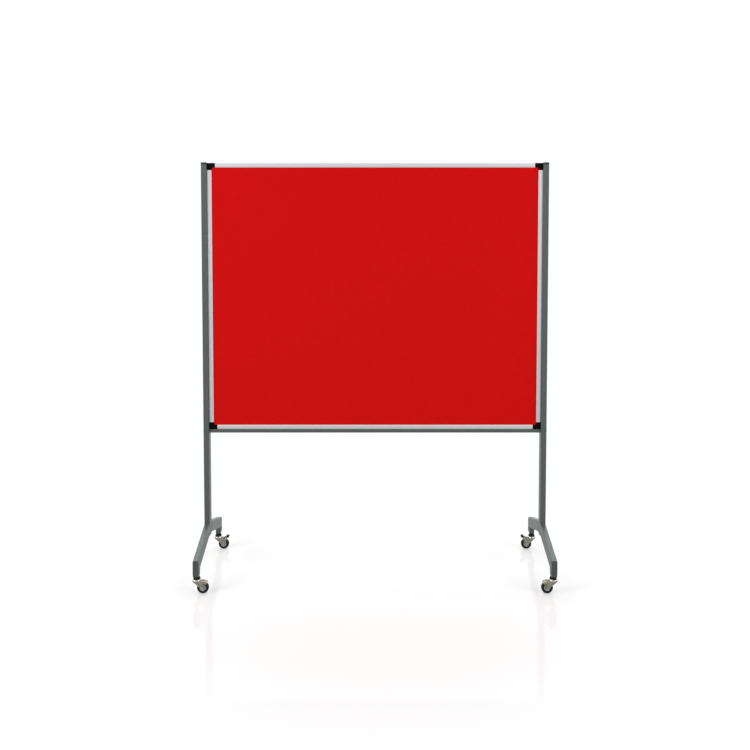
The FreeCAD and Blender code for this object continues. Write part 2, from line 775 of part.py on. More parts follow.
for end, side in places:
    where = f"{end}_{side}"
    braked = end == "rear"
    nodes[f"leg_{where}"] = on_leg(leg(), end, side)
    nodes[f"leg_cap_{where}"] = on_leg(leg_cap(), end, side)
    nodes[f"caster_socket_{where}"] = on_leg(caster_socket(), end, side)
    nodes[f"caster_stem_{where}"] = on_stem(stem(), end, side)
    nodes[f"caster_fork_{where}"] = on_stem(fork(braked), end, side)
    nodes[f"caster_axle_{where}"] = on_stem(axle(), end, side)
    nodes[f"wheel_hub_{where}"] = on_stem(hub(), end, side)
    nodes[f"wheel_tyre_{where}"] = on_stem(tyre(), end, side)
    if braked:
        nodes[f"brake_lever_{where}"] = on_stem(brake_lever(), end, side)
        nodes[f"brake_pedal_{where}"] = on_stem(brake_pedal(), end, side)
        nodes[f"brake_pin_{where}"] = on_stem(brake_pin(), end, side)

os.makedirs("parts", exist_ok=True)
for name, shape in nodes.items():
    shape.exportStep(f"parts/{name}.step")
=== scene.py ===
"""Finishes, felt facings, weld beads, pedal grips and studio of a mobile felt board.

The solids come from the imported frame, in metres: +X is the viewer's right, the front faces -Y and +Z is
up. Every hard piece keeps its solid and gets a finish here. The felt is made here as cloth. Sizes are in
metres and angles in degrees, except where a name, comment or docstring says otherwise.
"""

import logging
import math
from abc import ABC, abstractmethod
from collections.abc import Iterable, Mapping, Sequence
from dataclasses import dataclass, replace
from enum import Enum
from functools import reduce
from typing import Any

import bpy
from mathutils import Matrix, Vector


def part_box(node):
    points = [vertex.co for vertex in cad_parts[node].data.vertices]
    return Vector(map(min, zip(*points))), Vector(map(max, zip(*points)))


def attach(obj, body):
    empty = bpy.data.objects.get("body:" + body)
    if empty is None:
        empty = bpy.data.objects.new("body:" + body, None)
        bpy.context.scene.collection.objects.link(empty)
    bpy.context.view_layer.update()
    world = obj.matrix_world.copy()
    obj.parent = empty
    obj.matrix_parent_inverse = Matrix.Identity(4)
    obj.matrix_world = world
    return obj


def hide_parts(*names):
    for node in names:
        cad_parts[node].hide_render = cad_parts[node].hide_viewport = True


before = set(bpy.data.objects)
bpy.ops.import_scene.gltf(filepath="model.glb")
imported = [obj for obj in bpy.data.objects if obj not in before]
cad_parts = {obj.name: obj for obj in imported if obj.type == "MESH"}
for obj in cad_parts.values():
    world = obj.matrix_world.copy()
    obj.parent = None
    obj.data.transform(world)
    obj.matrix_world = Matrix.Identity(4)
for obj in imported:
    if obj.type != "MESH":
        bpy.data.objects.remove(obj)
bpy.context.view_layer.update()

log = logging.getLogger("felt_board")

Colour = tuple[float, float, float, float]
Triple = tuple[float, float, float]
Pair = tuple[float, float]

MM = 0.001
ZERO: Triple = (0.0, 0.0, 0.0)
WHITE: Colour = (1.0, 1.0, 1.0, 1.0)
NOISE_MIDDLE = 0.5
NOTHING: Mapping[Any, Any] = {}


class Named(Enum):
    """Options whose names are also parts of the names of nodes and finishes."""

    @property
    def word(self) -> str:
        """The option as those names spell it."""
        return self.name.lower()


class Side(Named):
    """The viewer's left or right, as the sign of X."""

    LEFT = -1
    RIGHT = 1


class End(Named):
    """The front or the rear, as the sign of Y."""

    FRONT = -1
    REAR = 1


class Run(Named):
    """Which way an extruded piece runs, as the axis of its length."""

    LEVEL = 0
    UPRIGHT = 2


class Spacing(Enum):
    """What divides a line into stops, as the socket that takes it."""

    STEP = "Length"
    COUNT = "Count"


@dataclass(frozen=True)
class Foot:
    """One of the stand's four feet: a leg, its neck and its caster."""

    end: End
    side: Side

    @property
    def word(self) -> str:
        """The foot as the names of its nodes spell it, such as front_left."""
        return f"{self.end.word}_{self.side.word}"


FEET = tuple(Foot(end, side) for end in End for side in Side)
BRAKED_FEET = tuple(foot for foot in FEET if foot.end is End.REAR)


def paint(red: int, green: int, blue: int) -> Colour:
    """Turns a colour as a screen shows it into the linear light that shaders take.

    Args:
        red: Red channel, 0 to 255.
        green: Green channel, 0 to 255.
        blue: Blue channel, 0 to 255.

    Returns:
        Linear red, green and blue, and an alpha of 1.
    """

    def linear(channel: int) -> float:
        """One channel, from screen to linear light."""
        share = channel / 255
        return share / 12.92 if share <= 0.04045 else ((share + 0.055) / 1.055) ** 2.4

    return (linear(red), linear(green), linear(blue), 1.0)


class Signal:
    """A node's output that takes part in Python expressions, each operator adding one Math node."""

    def __init__(self, wiring: "Wiring", socket: bpy.types.NodeSocket | None) -> None:
        """Wraps an output of a node in a tree."""
        self.wiring = wiring
        self.socket = socket

    def _math(self, operation: str, first: "Term", second: "Term") -> "Signal":
        """Joins two terms with a Math node."""
        return self.wiring.node("ShaderNodeMath", {"operation": operation}, {0: first, 1: second})

    def __add__(self, other: "Term") -> "Signal":
        """Adds a term."""
        return self._math("ADD", self, other)

    def __radd__(self, other: "Term") -> "Signal":
        """Is added to a term."""
        return self._math("ADD", other, self)

    def __sub__(self, other: "Term") -> "Signal":
        """Takes a term away."""
        return self._math("SUBTRACT", self, other)

    def __rsub__(self, other: "Term") -> "Signal":
        """Is taken away from a term."""
        return self._math("SUBTRACT", other, self)

    def __mul__(self, other: "Term") -> "Signal":
        """Multiplies by a term."""
        return self._math("MULTIPLY", self, other)

    def __rmul__(self, other: "Term") -> "Signal":
        """Multiplies a term."""
        return self._math("MULTIPLY", other, self)

    def larger(self, other: "Term") -> "Signal":
        """The larger of two terms."""
        return self._math("MAXIMUM", self, other)

    def rise(self, low: float, high: float) -> "Signal":
        """Goes smoothly from 0 to 1 as the signal passes from low to high.

        Args:
            low: Where the result leaves 0.
            high: Where it reaches 1.

        Returns:
            The eased share.
        """
        limits = {"Value": self, "From Min": low, "From Max": high}
        return self.wiring.node("ShaderNodeMapRange", {"interpolation_type": "SMOOTHSTEP"}, limits)


Term = Signal | float | int


def highest(signals: Iterable[Signal]) -> Signal:
    """The highest of several signals."""
    return reduce(Signal.larger, signals)


def sway(middle: float, *parts: tuple[Signal, float]) -> Signal:
    """A value that moves about its middle as noises do.

    Args:
        middle: The value where every noise is at its own middle.
        parts: Noises, each with how far its whole range moves the value.

    Returns:
        The moving value.
    """
    return sum(((noise - NOISE_MIDDLE) * amount for noise, amount in parts), start=middle)


class Wiring:
    """A node tree with one way to add a node, and the few patterns that the finishes share."""

    def __init__(self, tree: bpy.types.NodeTree) -> None:
        """Starts from an empty tree."""
        self.tree = tree
        tree.nodes.clear()

    def node(
        self,
        kind: str,
        settings: Mapping[str, Any] = NOTHING,
        inputs: Mapping[str | int, Any] = NOTHING,
        output: str | int = 0,
    ) -> Signal:
        """Adds a node, with its settings first and then its sockets.

        Args:
            kind: The node's type.
            settings: Values of the node's own options.
            inputs: Values or signals, by the socket's name or place.
            output: Which output to give back.

        Returns:
            The chosen output, or an empty signal where the node has none.
        """
        node = self.tree.nodes.new(kind)
        for option, value in settings.items():
            setattr(node, option, value)
        for key, value in inputs.items():
            if isinstance(value, Signal):
                self.tree.links.new(value.socket, node.inputs[key])
            else:
                node.inputs[key].default_value = value
        return Signal(self, node.outputs[output] if len(node.outputs) else None)

    def place(self, centre: Triple = ZERO) -> Signal:
        """Object coordinates in metres, measured from a centre."""
        here = self.node("ShaderNodeTexCoord", output="Object")
        return self.node("ShaderNodeVectorMath", {"operation": "SUBTRACT"}, {0: here, 1: centre})

    def length(self, vector: Signal) -> Signal:
        """The length of a vector."""
        return self.node("ShaderNodeVectorMath", {"operation": "LENGTH"}, {0: vector}, "Value")

    def noise(
        self,
        place: Signal,
        grain: Triple,
        turn: Triple = ZERO,
        detail: float = 2.0,
        wander: float = 0.0,
    ) -> Signal:
        """Smooth noise whose grains have a real size.

        Args:
            place: Coordinates in metres.
            grain: A grain's length along each axis, in metres.
            turn: Turn of the grains about each axis, in radians.
            detail: Finer layers of noise added.
            wander: How far the grains wander.

        Returns:
            Noise about its middle of 0.5, within 0 to 1.
        """
        laid = {"Vector": place, "Rotation": turn, "Scale": grain}
        grains = self.node("ShaderNodeMapping", {"vector_type": "TEXTURE"}, laid)
        sockets = {"Vector": grains, "Scale": 1.0, "Detail": detail, "Distortion": wander}
        return self.node("ShaderNodeTexNoise", inputs=sockets)

    def even_noise(self, place: Signal, grain: float, detail: float = 2.0) -> Signal:
        """Noise with grains of the same size each way."""
        return self.noise(place, (grain, grain, grain), detail=detail)

    def fibres(self, place: Signal, size: Pair, turns: Sequence[float], wander: float) -> Signal:
        """A mat of fibres that lie in the board's plane, in several layers.

        Args:
            place: Coordinates in metres.
            size: A fibre's length and width, in metres.
            turns: The way that each layer lies, in degrees.
            wander: How far the fibres wander.

        Returns:
            Height of the highest layer, within 0 to 1.
        """
        length, width = size
        return highest(
            self.noise(place, (length, width, width), (0.0, math.radians(turn), 0.0), wander=wander)
            for turn in turns
        )

    def blend(self, share: Term, first: Any, second: Any) -> Signal:
        """Mixes two colours.

        Args:
            share: How much of the second colour shows, 0 to 1.
            first: A colour or a colour signal.
            second: A colour or a colour signal.

        Returns:
            The mixed colour.
        """
        # The Mix node has sockets for each type. Inputs 6 and 7 and output 2 are the colours.
        return self.node("ShaderNodeMix", {"data_type": "RGBA"}, {0: share, 6: first, 7: second}, 2)

    def tone(self, colour: Any, level: Term) -> Signal:
        """Makes a colour lighter or darker.

        Args:
            colour: A colour or a colour signal.
            level: What the colour is multiplied by, around 1.

        Returns:
            The toned colour.
        """
        if not isinstance(colour, Signal):
            colour = colour[:3]
        return self.node("ShaderNodeVectorMath", {"operation": "SCALE"}, {0: colour, "Scale": level})

    def bump(self, height: Term, depth: float, strength: float = 1.0) -> Signal:
        """Turns a height signal into a surface normal.

        Args:
            height: The height, 0 to 1.
            depth: What a height of 1 stands for, in metres.
            strength: Share of the effect.

        Returns:
            The bumped normal.
        """
        relief = {"Height": height, "Distance": depth, "Strength": strength}
        return self.node("ShaderNodeBump", inputs=relief)


def new_material(name: str) -> tuple[bpy.types.Material, Wiring]:
    """Starts a material with an empty tree.

    Args:
        name: The material's name.

    Returns:
        The material, and its tree.
    """
    material = bpy.data.materials.new(name)
    material.use_nodes = True
    return material, Wiring(material.node_tree)


@dataclass(frozen=True)
class Finish(ABC):
    """A surface finish with its written colour. A subclass says how it varies over a surface.

    A subclass gives the size of each kind of mark under a plain name. With depth, tone or rough added, the
    name says how far the mark moves the surface, the colour's level or the roughness. A band holds the two
    values between which a mask rises.
    """

    name: str
    colour: Colour
    roughness: float

    def material(self) -> bpy.types.Material:
        """Makes the material.

        Returns:
            A material that shows this finish.
        """
        material, wiring = new_material(self.name)
        shader = wiring.node("ShaderNodeBsdfPrincipled", inputs=self.sockets(wiring))
        wiring.node("ShaderNodeOutputMaterial", inputs={"Surface": shader})
        return material

    @abstractmethod
    def sockets(self, wiring: Wiring) -> dict[str, Any]:
        """Works out what the shader's sockets take.

        Args:
            wiring: The material's tree.

        Returns:
            Values and signals, by the socket's name.
        """


@dataclass(frozen=True)
class PowderCoat(Finish):
    """Baked powder paint on steel: an orange-peel skin with faint specks."""

    peel: float = 1.4 * MM
    peel_depth: float = 0.05 * MM
    peel_rough: float = 0.04
    speck: float = 0.3 * MM
    speck_tone: float = 0.08
    patch: float = 90 * MM
    patch_tone: float = 0.06
    patch_rough: float = 0.06

    def sockets(self, wiring: Wiring) -> dict[str, Any]:
        """Paint whose gloss and tone wander a little over the tube.

        Args:
            wiring: The material's tree.

        Returns:
            Values and signals, by the socket's name.
        """
        place = wiring.place()
        specks = wiring.even_noise(place, self.speck)
        patches = wiring.even_noise(place, self.patch)
        peel = wiring.even_noise(place, self.peel, detail=1.0)
        level = sway(1.0, (specks, self.speck_tone), (patches, self.patch_tone))
        return {
            "Base Color": wiring.tone(self.colour, level),
            "Roughness": sway(self.roughness, (patches, self.patch_rough), (peel, self.peel_rough)),
            "Normal": wiring.bump(peel, self.peel_depth),
        }


@dataclass(frozen=True)
class Anodised(Finish):
    """Satin anodised aluminium with die lines along the extrusion."""

    run: Run = Run.LEVEL
    line_length: float = 700 * MM
    line_width: float = 0.45 * MM
    line_depth: float = 0.015 * MM
    line_tone: float = 0.1
    line_rough: float = 0.16
    cloud: float = 140 * MM
    cloud_tone: float = 0.06
    cloud_rough: float = 0.06

    def sockets(self, wiring: Wiring) -> dict[str, Any]:
        """Metal whose fine lines follow the rail.

        Args:
            wiring: The material's tree.

        Returns:
            Values and signals, by the socket's name.
        """
        place = wiring.place()
        grain = [self.line_width] * 3
        grain[self.run.value] = self.line_length
        lines = wiring.noise(place, tuple(grain), detail=3.0)
        clouds = wiring.even_noise(place, self.cloud)
        level = sway(1.0, (lines, self.line_tone), (clouds, self.cloud_tone))
        return {
            "Base Color": wiring.tone(self.colour, level),
            "Metallic": 1.0,
            "Roughness": sway(self.roughness, (lines, self.line_rough), (clouds, self.cloud_rough)),
            "Normal": wiring.bump(lines, self.line_depth),
        }


@dataclass(frozen=True)
class Moulded(Finish):
    """Moulded plastic with a fine spark-eroded texture and faint flow marks."""

    gloss: float = 0.3
    texture: float = 0.45 * MM
    texture_depth: float = 0.03 * MM
    texture_tone: float = 0.12
    texture_rough: float = 0.08
    flow: float = 12 * MM
    flow_tone: float = 0.16
    flow_rough: float = 0.14

    def sockets(self, wiring: Wiring) -> dict[str, Any]:
        """Plastic whose gloss follows its flow marks.

        Args:
            wiring: The material's tree.

        Returns:
            Values and signals, by the socket's name.
        """
        place = wiring.place()
        texture = wiring.even_noise(place, self.texture, detail=1.0)
        flow = wiring.even_noise(place, self.flow)
        level = sway(1.0, (texture, self.texture_tone), (flow, self.flow_tone))
        return {
            "Base Color": wiring.tone(self.colour, level),
            "Roughness": sway(self.roughness, (flow, self.flow_rough), (texture, self.texture_rough)),
            "Specular IOR Level": self.gloss,
            "Normal": wiring.bump(texture, self.texture_depth),
        }


@dataclass(frozen=True)
class ZincPlate(Finish):
    """Bright zinc on pressed steel, with a passivated tint that drifts from warm to cool."""

    warm: Colour = paint(206, 196, 174)
    drift: float = 9 * MM
    drift_band: Pair = (0.32, 0.72)
    drift_rough: float = 0.04
    rub: float = 1.6 * MM
    rub_depth: float = 0.02 * MM
    rub_tone: float = 0.2
    rub_rough: float = 0.2
    level: float = 0.98  # the colour's, in the middle

    def sockets(self, wiring: Wiring) -> dict[str, Any]:
        """Metal with a drifting tint and a tumbled surface.

        Args:
            wiring: The material's tree.

        Returns:
            Values and signals, by the socket's name.
        """
        place = wiring.place()
        drift = wiring.even_noise(place, self.drift).rise(*self.drift_band)
        rub = wiring.even_noise(place, self.rub, detail=3.0)
        tint = wiring.blend(drift, self.colour, self.warm)
        return {
            "Base Color": wiring.tone(tint, sway(self.level, (rub, self.rub_tone))),
            "Metallic": 1.0,
            "Roughness": sway(self.roughness, (rub, self.rub_rough)) + drift * self.drift_rough,
            "Normal": wiring.bump(rub, self.rub_depth),
        }


@dataclass(frozen=True)
class WheelFinish(Finish):
    """A turned wheel piece, dusty towards its rim. The wheel's axle runs along Y through the centre."""

    centre: Triple = ZERO
    plane: Triple = (1.0, 0.0, 1.0)  # what is kept of a place, across the axle
    dust: Colour = paint(112, 108, 101)
    dust_band: Pair = (22 * MM, 25 * MM)  # radii
    dust_share: float = 0.4
    dust_rough: float = 0.3
    smudge: float = 6 * MM
    smudge_band: Pair = (0.3, 0.7)
    gloss: float = 0.2
    grain: float = 0.6 * MM
    grain_depth: float = 0.05 * MM
    grain_tone: float = 0.3
    grain_rough: float = 0.12

    def sockets(self, wiring: Wiring) -> dict[str, Any]:
        """Rubber or plastic that gathers dust where it is widest.

        Args:
            wiring: The material's tree.

        Returns:
            Values and signals, by the socket's name.
        """
        place = wiring.place(self.centre)
        flat = wiring.node("ShaderNodeVectorMath", {"operation": "MULTIPLY"}, {0: place, 1: self.plane})
        grain = wiring.even_noise(place, self.grain)
        smudge = wiring.even_noise(place, self.smudge).rise(*self.smudge_band)
        dust = wiring.length(flat).rise(*self.dust_band) * smudge * self.dust_share
        clean = wiring.tone(self.colour, sway(1.0, (grain, self.grain_tone)))
        return {
            "Base Color": wiring.blend(dust, clean, self.dust),
            "Roughness": sway(self.roughness, (grain, self.grain_rough)) + dust * self.dust_rough,
            "Specular IOR Level": self.gloss,
            "Normal": wiring.bump(grain, self.grain_depth),
        }


@dataclass(frozen=True)
class FibreBoard(Finish):
    """Soft pressed fibreboard: long pale fibres in a brown mat."""

    pale: Colour = paint(176, 148, 110)
    fibre_length: float = 9 * MM
    fibre_width: float = 0.7 * MM
    fibre_depth: float = 0.2 * MM
    fibre_rough: float = 0.06
    fibre_band: Pair = (0.5, 0.75)
    turns: tuple[float, ...] = (20.0, 95.0, 150.0)
    wander: float = 0.3

    def sockets(self, wiring: Wiring) -> dict[str, Any]:
        """A mat of fibres lying in the board's plane.

        Args:
            wiring: The material's tree.

        Returns:
            Values and signals, by the socket's name.
        """
        size = (self.fibre_length, self.fibre_width)
        fibres = wiring.fibres(wiring.place(), size, self.turns, self.wander)
        share = fibres.rise(*self.fibre_band)
        return {
            "Base Color": wiring.blend(share, self.colour, self.pale),
            "Roughness": self.roughness - share * self.fibre_rough,
            "Normal": wiring.bump(fibres, self.fibre_depth),
        }


@dataclass(frozen=True)
class FeltNap(Finish):
    """Needled felt: matted fibres over each other, with painted light on the top of the nap, painted shade
    between the fibres, and a soft bloom.
    """

    # painted shade: the colour of the fibres under the top of the nap, where shade falls between them
    shade: Colour = paint(196, 7, 7)
    fibre_length: float = 8 * MM
    fibre_width: float = 0.3 * MM
    turns: tuple[float, ...] = (8.0, 52.0, 97.0, 141.0)
    wander: float = 0.5
    nap_band: Pair = (0.5, 0.78)
    nap_depth: float = 0.25 * MM
    nap_strength: float = 0.6
    nap_rough: float = 0.05
    mottle: float = 24 * MM
    mottle_tone: float = 0.08
    cloud: float = 260 * MM
    cloud_tone: float = 0.04
    gloss: float = 0.1
    bloom: float = 0.04
    bloom_roughness: float = 0.6
    bloom_tint: Colour = paint(255, 120, 110)

    def sockets(self, wiring: Wiring) -> dict[str, Any]:
        """Cloth whose fibres lie in the board's plane, in several directions.

        Args:
            wiring: The material's tree.

        Returns:
            Values and signals, by the socket's name.
        """
        place = wiring.place()
        nap = wiring.fibres(place, (self.fibre_length, self.fibre_width), self.turns, self.wander)
        mottle = wiring.even_noise(place, self.mottle)
        cloud = wiring.even_noise(place, self.cloud)
        # lit marks the fibres on top of the nap: the base colour gives them painted light, and the fibres
        # below painted shade
        lit = nap.rise(*self.nap_band)
        level = sway(1.0, (mottle, self.mottle_tone), (cloud, self.cloud_tone))
        return {
            "Base Color": wiring.tone(wiring.blend(lit, self.shade, self.colour), level),
            "Roughness": self.roughness - lit * self.nap_rough,
            "Normal": wiring.bump(nap, self.nap_depth, self.nap_strength),
            "Specular IOR Level": self.gloss,
            "Sheen Weight": self.bloom,
            "Sheen Roughness": self.bloom_roughness,
            "Sheen Tint": self.bloom_tint,
        }


def dress(material: bpy.types.Material, *nodes: str) -> None:
    """Gives CAD nodes a material and reports each.

    Args:
        material: What the nodes show.
        nodes: Names of the nodes.
    """
    for name in nodes:
        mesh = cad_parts[name].data
        mesh.materials.clear()
        mesh.materials.append(material)
        log.info("%s: finished in %s", name, material.name)


def put(name: str, data: bpy.types.ID) -> bpy.types.Object:
    """Adds an object to the scene.

    Args:
        name: The object's name.
        data: Its mesh, light or camera.

    Returns:
        The new object.
    """
    item = bpy.data.objects.new(name, data)
    bpy.context.scene.collection.objects.link(item)
    return item


def add_piece(
    name: str, mesh: bpy.types.Mesh, body: str, material: bpy.types.Material | None = None
) -> bpy.types.Object:
    """Puts a new piece in the scene on the body that carries it.

    Args:
        name: The piece's name.
        mesh: Its mesh, in the part's own frame.
        body: The body that it moves with.
        material: What it shows, where the mesh has no material yet.

    Returns:
        The new object.
    """
    piece = put(name, mesh)
    if material is not None:
        mesh.materials.append(material)
    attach(piece, body)
    log.info("%s: %d faces, rides on %s", name, len(mesh.polygons), body)
    return piece


class Recipe(Wiring):
    """A Geometry Nodes tree with named inputs for its sizes, which ends in a plain painted mesh."""

    def __init__(self, name: str, sizes: Mapping[str, str]) -> None:
        """Makes the tree's sockets.

        Args:
            name: The tree's name.
            sizes: Socket types, by the name of each input.
        """
        super().__init__(bpy.data.node_groups.new(name, "GeometryNodeTree"))
        sockets = {"Geometry": "NodeSocketGeometry", **sizes, "Finish": "NodeSocketMaterial"}
        for label, kind in sockets.items():
            self.tree.interface.new_socket(label, in_out="INPUT", socket_type=kind)
        self.tree.interface.new_socket("Geometry", in_out="OUTPUT", socket_type="NodeSocketGeometry")

    def given(self, label: str) -> Signal:
        """One of the tree's own inputs."""
        return self.node("NodeGroupInput", output=label)

    def stops(self, spacing: Spacing, label: str) -> Signal:
        """Divides the guide's lines evenly.

        Args:
            spacing: What divides them.
            label: The tree's own input that gives its value.

        Returns:
            The lines, with a point at each stop.
        """
        lines = self.node("GeometryNodeMeshToCurve", inputs={"Mesh": self.given("Geometry")})
        divided = {"Curve": lines, spacing.value: self.given(label)}
        return self.node("GeometryNodeResampleCurve", {"mode": spacing.value.upper()}, divided)

    def close(self, instances: Mapping[str, Any]) -> None:
        """Ends the tree: a shape at each stop, made real, smooth and in the given finish.

        Args:
            instances: What the sockets of Instance on Points take.
        """
        laid = self.node("GeometryNodeInstanceOnPoints", inputs=instances)
        real = self.node("GeometryNodeRealizeInstances", inputs={"Geometry": laid})
        smooth = self.node("GeometryNodeSetShadeSmooth", inputs={"Geometry": real})
        finish = {"Geometry": smooth, "Material": self.given("Finish")}
        painted = self.node("GeometryNodeSetMaterial", inputs=finish)
        self.node("NodeGroupOutput", inputs={"Geometry": painted})

    def make(self, name: str, guide: bpy.types.Mesh, sizes: Mapping[str, Any]) -> bpy.types.Mesh:
        """Runs the tree on a guide mesh.

        Args:
            name: Name of the mesh that comes out.
            guide: The lines that the tree works on.
            sizes: Values for the tree's inputs, by name.

        Returns:
            The result as a plain mesh.
        """
        host = put(name + "_guide", guide)
        modifier = host.modifiers.new("recipe", "NODES")
        modifier.node_group = self.tree
        for socket in self.tree.interface.items_tree:
            if socket.in_out == "INPUT" and socket.name in sizes:
                modifier[socket.identifier] = sizes[socket.name]
        depsgraph = bpy.context.evaluated_depsgraph_get()
        mesh = bpy.data.meshes.new_from_object(host.evaluated_get(depsgraph), depsgraph=depsgraph)
        mesh.name = name
        bpy.data.objects.remove(host)
        bpy.data.meshes.remove(guide)
        return mesh


def line_mesh(name: str, lines: Sequence[Sequence[Vector]]) -> bpy.types.Mesh:
    """A mesh of open lines with no faces, for a recipe to follow.

    Args:
        name: The mesh's name.
        lines: The points of each line.

    Returns:
        The mesh.
    """
    points: list[Vector] = []
    edges: list[tuple[int, int]] = []
    for line in lines:
        first = len(points)
        points.extend(line)
        edges.extend((i, i + 1) for i in range(first, len(points) - 1))
    mesh = bpy.data.meshes.new(name)
    mesh.from_pydata(points, edges, [])
    return mesh


@dataclass
class FeltFacing:
    """One felt sheet: pinched in the frame's groove, and standing out a little in the opening."""

    end: End
    material: bpy.types.Material
    pinched: float = 2.0 * MM  # thickness in the groove
    field_gap: float = 0.4 * MM  # between the raised field and the rails
    field_corner: float = 6.6 * MM
    shoulder: float = 3.2 * MM  # over which the felt rises to its field
    fine_step: float = 0.45 * MM
    fine_band: float = 9.0 * MM  # strip beside the rails with the fine step
    coarse_step: float = 22.0 * MM
    growth: float = 1.45  # of the step, from fine to coarse
    ripple: float = 0.07 * MM
    # Each wave's turn per metre, level and upright, and its start, in radians.
    ripple_waves: tuple[Triple, ...] = ((5.1, 3.3, 0.4), (-3.7, 7.9, 1.9), (9.3, -6.1, 4.2))
    sharp_angle: float = 40.0

    def lines(self, half: float, opening: float) -> list[float]:
        """Grid lines across the sheet, close together where the felt rises beside the frame.

        Args:
            half: Half of the sheet's size.
            opening: Half of the opening's size.

        Returns:
            Places from one edge to the other.
        """
        steps = math.ceil(self.fine_band / self.fine_step)
        inward = [half] + [opening - i * self.fine_step for i in range(steps + 1)]
        step = self.fine_step
        while inward[-1] > 0:
            step = min(step * self.growth, self.coarse_step)
            inward.append(inward[-1] - step)
        inward[-1] = 0.0
        return [-place for place in inward[:-1]] + inward[::-1]

    def inside(self, across: float, up: float, half_width: float, half_height: float) -> float:
        """How far a point lies inside the field, a rectangle with rounded corners.

        Args:
            across: Place from the field's centre, level.
            up: Place from the field's centre, upright.
            half_width: Half of the field's width.
            half_height: Half of the field's height.

        Returns:
            Distance to the field's edge, below 0 outside.
        """
        out_x = abs(across) - half_width + self.field_corner
        out_z = abs(up) - half_height + self.field_corner
        corner = math.hypot(max(out_x, 0.0), max(out_z, 0.0))
        return self.field_corner - corner - min(max(out_x, out_z), 0.0)

    def shell(self, wide: int, tall: int) -> list[tuple[int, ...]]:
        """Faces of a closed sheet: the grid of its face, the grid of its back, and the rim between them.

        Args:
            wide: Points in a row of a grid.
            tall: Rows of a grid.

        Returns:
            The points of each face. Those of the back's grid come after those of the face's.
        """
        layer = wide * tall
        faces: list[tuple[int, ...]] = []
        for row in range(tall - 1):
            for column in range(wide - 1):
                a = row * wide + column
                quad = (a, a + 1, a + wide + 1, a + wide)
                faces.append(quad)
                faces.append(tuple(layer + i for i in reversed(quad)))
        rim = list(range(wide)) + [row * wide + wide - 1 for row in range(1, tall)]
        rim += [layer - 1 - i for i in range(1, wide)] + [row * wide for row in range(tall - 2, 0, -1)]
        for a, b in zip(rim, rim[1:] + rim[:1]):
            faces.append((b, a, a + layer, b + layer))
        if self.end is End.REAR:
            faces = [face[::-1] for face in faces]
        return faces

    def build(self) -> None:
        """Makes the closed sheet in place of its plain solid."""
        node = f"felt_{self.end.word}"
        low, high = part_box(node)
        centre_z = (low.z + high.z) / 2
        back = min(abs(low.y), abs(high.y))
        rise = max(abs(low.y), abs(high.y)) - back - self.pinched
        half_width, half_height = high.x, (high.z - low.z) / 2
        open_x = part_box("rail_right")[0].x
        open_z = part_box("rail_top")[0].z - centre_z

        def face_depth(x: float, z: float) -> float:
            """How far the felt's face stands from the board's middle plane.

            Args:
                x: Place from the board's centre, level.
                z: Place from the board's centre, upright.

            Returns:
                The distance, with the rise at the frame and a slight ripple.
            """
            depth = self.inside(x, z, open_x - self.field_gap, open_z - self.field_gap)
            share = min(max(depth / self.shoulder, 0.0), 1.0)
            eased = share * share * (3 - 2 * share)
            waves = sum(math.sin(a * x + b * z + c) for a, b, c in self.ripple_waves)
            return back + self.pinched + eased * (rise + self.ripple * waves / len(self.ripple_waves))

        columns = self.lines(half_width, open_x)
        rows = self.lines(half_height, open_z)
        sign = self.end.value
        points = [(x, sign * face_depth(x, z), centre_z + z) for z in rows for x in columns]
        points += [(x, sign * back, centre_z + z) for z in rows for x in columns]
        mesh = bpy.data.meshes.new(f"{node}_sheet")
        mesh.from_pydata(points, [], self.shell(len(columns), len(rows)))
        mesh.shade_smooth()
        mesh.set_sharp_from_angle(angle=math.radians(self.sharp_angle))
        piece = add_piece(f"{node}_sheet", mesh, "root", self.material)
        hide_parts(node)


@dataclass
class Board:
    """The framed panel: fibre core, felt on both faces, four rails and four corner pieces."""

    felt: FeltNap = FeltNap("felt", paint(230, 18, 15), roughness=0.96)
    core: FibreBoard = FibreBoard("fibreboard", paint(120, 92, 60), roughness=0.92)
    corner: Moulded = Moulded("corner_plastic", paint(6, 6, 7), roughness=0.45, gloss=0.05)
    rail: Anodised = Anodised("anodised", paint(209, 209, 212), roughness=0.36)

    def build(self) -> None:
        """Dresses the panel's solids and lays the felt."""
        for run, names in {Run.LEVEL: ("top", "bottom"), Run.UPRIGHT: ("left", "right")}.items():
            metal = replace(self.rail, name=f"{self.rail.name}_{run.word}", run=run)
            dress(metal.material(), *(f"rail_{name}" for name in names))
        corners = [f"corner_{level}_{side.word}" for level in ("top", "bottom") for side in Side]
        dress(self.corner.material(), *corners)
        dress(self.core.material(), "board_core")
        cloth = self.felt.material()
        for end in End:
            FeltFacing(end, cloth).build()


